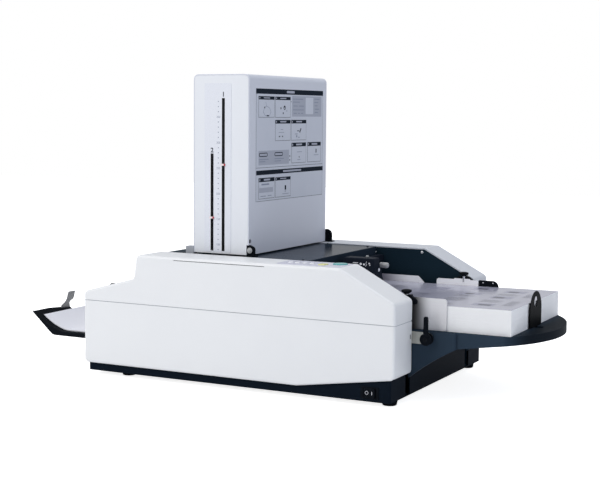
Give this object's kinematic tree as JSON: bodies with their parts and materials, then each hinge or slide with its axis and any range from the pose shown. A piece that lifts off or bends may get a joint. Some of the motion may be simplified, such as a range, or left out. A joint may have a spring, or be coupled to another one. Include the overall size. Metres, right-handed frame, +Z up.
{
  "type": "paper folding machine",
  "caption": "Desk-top paper folding machine: side covers, upright fold-plate tower that tilts, feed table with stack, guides, delivery tray, roller train.",
  "frame": {"origin": "on the desk, under the middle of the whole machine", "axes": "+X from the delivery end to the feed end, +Y from the operator's side to the rear, +Z up"},
  "size_m": [1.1, 0.492, 0.6008],
  "materials": {
    "cover_plastic": "satin off-white",
    "frame_paint": "dark blue-grey, semi-matt",
    "base_paint": "black, satin",
    "foot_rubber": "matt",
    "bright_steel": "brushed",
    "black_plastic": "black, fine grain",
    "board_green": "circuit board",
    "panel_film": "printed film",
    "key_white": "white",
    "key_yellow": "pale yellow",
    "key_teal": "teal",
    "deck_paint": "dark grey, gloss",
    "tower_paint": "light grey, satin",
    "scale_print": "printed plate",
    "fold_steel": "plain sheet",
    "roller_rubber": "ground rubber on a steel shaft",
    "belt_rubber": "matt",
    "motor_paint": "black",
    "table_paint": "dark grey, satin",
    "paper_white": "coated paper",
    "knob_grey": "light grey",
    "flap_smoke": "smoke-grey film"
  },
  "bodies": {
    "machine": {"base_pan": "base_paint", "rubber_feet": "foot_rubber", "front_frame": "frame_paint", "rear_frame": "frame_paint", "frame_rods": "bright_steel", "front_lower_cover": "cover_plastic", "front_upper_cover": "cover_plastic", "rear_lower_cover": "cover_plastic", "rear_upper_cover": "cover_plastic", "shaft_bushes": "black_plastic", "switch_bezel": "black_plastic", "power_inlet": "black_plastic", "circuit_boards": "board_green", "operation_panel": "panel_film", "top_deck": "deck_paint", "delivery_hood": "frame_paint", "paper_guides": "fold_steel", "tower_brackets": "black_plastic", "drive_belt": "belt_rubber", "motor": "motor_paint", "feed_head": "black_plastic", "lever_strap": "bright_steel"},
    "tower": {"tower_shell": "tower_paint", "tower_front": "tower_paint", "tower_lugs": "black_plastic", "scale_plate": "scale_print", "fold_plates": "fold_steel"},
    "stopper_1": {"stopper_1": "black_plastic"},
    "stopper_2": {"stopper_2": "black_plastic"},
    "rocker": {"power_rocker": "black_plastic"},
    "start_key": {"start_key": "key_teal"},
    "stop_key": {"stop_key": "key_yellow"},
    "set_key_1": {"set_key_1": "key_white"},
    "set_key_2": {"set_key_2": "key_white"},
    "set_key_3": {"set_key_3": "key_white"},
    "set_key_4": {"set_key_4": "key_white"},
    "motor_rotor": {"motor_rotor": "bright_steel"},
    "feed_roller": {"feed_roller": "roller_rubber"},
    "separator_knob": {"separator_knob": "knob_grey"},
    "fold_roller_1": {"fold_roller_1": "roller_rubber"},
    "fold_roller_2": {"fold_roller_2": "roller_rubber"},
    "fold_roller_3": {"fold_roller_3": "roller_rubber"},
    "fold_roller_4": {"fold_roller_4": "roller_rubber"},
    "table": {"feed_table": "table_paint", "table_carriage": "bright_steel", "paper_stack": "paper_white"},
    "near_guide": {"near_guide": "bright_steel", "near_clip": "black_plastic"},
    "near_thumb_knob": {"near_thumb_knob": "black_plastic"},
    "far_guide": {"far_guide": "bright_steel", "far_bracket": "black_plastic"},
    "far_thumb_knob": {"far_thumb_knob": "black_plastic"},
    "end_guide": {"end_guide": "black_plastic"},
    "clamp_lever": {"clamp_lever": "black_plastic"},
    "tray": {"delivery_tray": "black_plastic", "tray_flap": "flap_smoke", "folded_sheets": "paper_white"},
    "delivery_arms": {"delivery_arms": "black_plastic"},
    "delivery_wheels": {"delivery_wheels": "roller_rubber"}
  },
  "joints": [
    {"name": "tower_tilt", "type": "hinge", "parent": "machine", "child": "tower", "pos_m": [-0.03, 0, 0.2595], "axis": [0, 1, 0], "range_deg": [0, 80]},
    {"name": "stopper_1_slide", "type": "slide", "parent": "tower", "child": "stopper_1", "axis": [0, 0, 1], "range_m": [-0.166, 0.126]},
    {"name": "stopper_2_slide", "type": "slide", "parent": "tower", "child": "stopper_2", "axis": [0, 0, 1], "range_m": [-0.0616, 0.1224]},
    {"name": "table_lift", "type": "slide", "parent": "machine", "child": "table", "axis": [0, 0, 1], "range_m": [-0.03, 0.006]},
    {"name": "near_guide_slide", "type": "slide", "parent": "table", "child": "near_guide", "axis": [0, -1, 0], "range_m": [0, 0.005]},
    {"name": "far_guide_slide", "type": "slide", "parent": "table", "child": "far_guide", "axis": [0, 1, 0], "range_m": [0, 0.005]},
    {"name": "near_thumb_turn", "type": "hinge", "parent": "near_guide", "child": "near_thumb_knob", "pos_m": [0.301, -0.153, 0.207], "axis": [0, 0, 1], "continuous": true},
    {"name": "far_thumb_turn", "type": "hinge", "parent": "far_guide", "child": "far_thumb_knob", "pos_m": [0.301, 0.1516, 0.207], "axis": [0, 0, 1], "continuous": true},
    {"name": "end_guide_slide", "type": "slide", "parent": "table", "child": "end_guide", "axis": [1, 0, 0], "range_m": [0, 0.014]},
    {"name": "clamp_lever_turn", "type": "hinge", "parent": "machine", "child": "clamp_lever", "pos_m": [0.35, -0.1665, 0.121], "axis": [0, 1, 0], "range_deg": [0, 80]},
    {"name": "rocker_tip", "type": "hinge", "parent": "machine", "child": "rocker", "pos_m": [0.2682, -0.2382, 0.026], "axis": [0, 0, 1], "range_deg": [0, 18]},
    {"name": "feed_roller_turn", "type": "hinge", "parent": "machine", "child": "feed_roller", "pos_m": [0.138, 0, 0.2045], "axis": [0, 1, 0], "continuous": true},
    {"name": "separator_turn", "type": "hinge", "parent": "machine", "child": "separator_knob", "pos_m": [0.1805, 0.002, 0.2288], "axis": [1, 0, 0], "range_deg": [-135, 135]},
    {"name": "tray_slide", "type": "slide", "parent": "machine", "child": "tray", "axis": [1, 0, 0], "range_m": [0, 0.08]},
    {"name": "delivery_arm_lift", "type": "hinge", "parent": "machine", "child": "delivery_arms", "pos_m": [-0.337, 0, 0.15], "axis": [0, 1, 0], "range_deg": [0, 40]},
    {"name": "delivery_wheel_turn", "type": "hinge", "parent": "delivery_arms", "child": "delivery_wheels", "pos_m": [-0.398, 0, 0.088], "axis": [0, 1, 0], "continuous": true},
    {"name": "start_key_press", "type": "slide", "parent": "machine", "child": "start_key", "axis": [0, 0, -1], "range_m": [0, 0.001], "stiffness_N_per_m": 300, "springref_m": -0.0008},
    {"name": "stop_key_press", "type": "slide", "parent": "machine", "child": "stop_key", "axis": [0, 0, -1], "range_m": [0, 0.001], "stiffness_N_per_m": 300, "springref_m": -0.0008},
    {"name": "set_key_1_press", "type": "slide", "parent": "machine", "child": "set_key_1", "axis": [0, 0, -1], "range_m": [0, 0.001], "stiffness_N_per_m": 300, "springref_m": -0.0008},
    {"name": "set_key_2_press", "type": "slide", "parent": "machine", "child": "set_key_2", "axis": [0, 0, -1], "range_m": [0, 0.001], "stiffness_N_per_m": 300, "springref_m": -0.0008},
    {"name": "set_key_3_press", "type": "slide", "parent": "machine", "child": "set_key_3", "axis": [0, 0, -1], "range_m": [0, 0.001], "stiffness_N_per_m": 300, "springref_m": -0.0008},
    {"name": "set_key_4_press", "type": "slide", "parent": "machine", "child": "set_key_4", "axis": [0, 0, -1], "range_m": [0, 0.001], "stiffness_N_per_m": 300, "springref_m": -0.0008},
    {"name": "fold_roller_1_turn", "type": "hinge", "parent": "machine", "child": "fold_roller_1", "pos_m": [-0.063, 0, 0.21997], "axis": [0, 1, 0], "continuous": true},
    {"name": "fold_roller_2_turn", "type": "hinge", "parent": "machine", "child": "fold_roller_2", "pos_m": [-0.089, 0, 0.205], "axis": [0, 1, 0], "continuous": true},
    {"name": "fold_roller_3_turn", "type": "hinge", "parent": "machine", "child": "fold_roller_3", "pos_m": [-0.115, 0, 0.21997], "axis": [0, 1, 0], "continuous": true},
    {"name": "fold_roller_4_turn", "type": "hinge", "parent": "machine", "child": "fold_roller_4", "pos_m": [-0.141, 0, 0.205], "axis": [0, 1, 0], "continuous": true},
    {"name": "motor_turn", "type": "hinge", "parent": "machine", "child": "motor_rotor", "pos_m": [-0.077, 0, 0.066], "axis": [0, 1, 0], "continuous": true}
  ],
  "couplings": [
    {"joint": "fold_roller_2_turn", "follows": "fold_roller_1_turn", "ratio": -1},
    {"joint": "fold_roller_3_turn", "follows": "fold_roller_1_turn", "ratio": 1},
    {"joint": "fold_roller_4_turn", "follows": "fold_roller_1_turn", "ratio": -1},
    {"joint": "motor_turn", "follows": "fold_roller_1_turn", "ratio": -2}
  ]
}
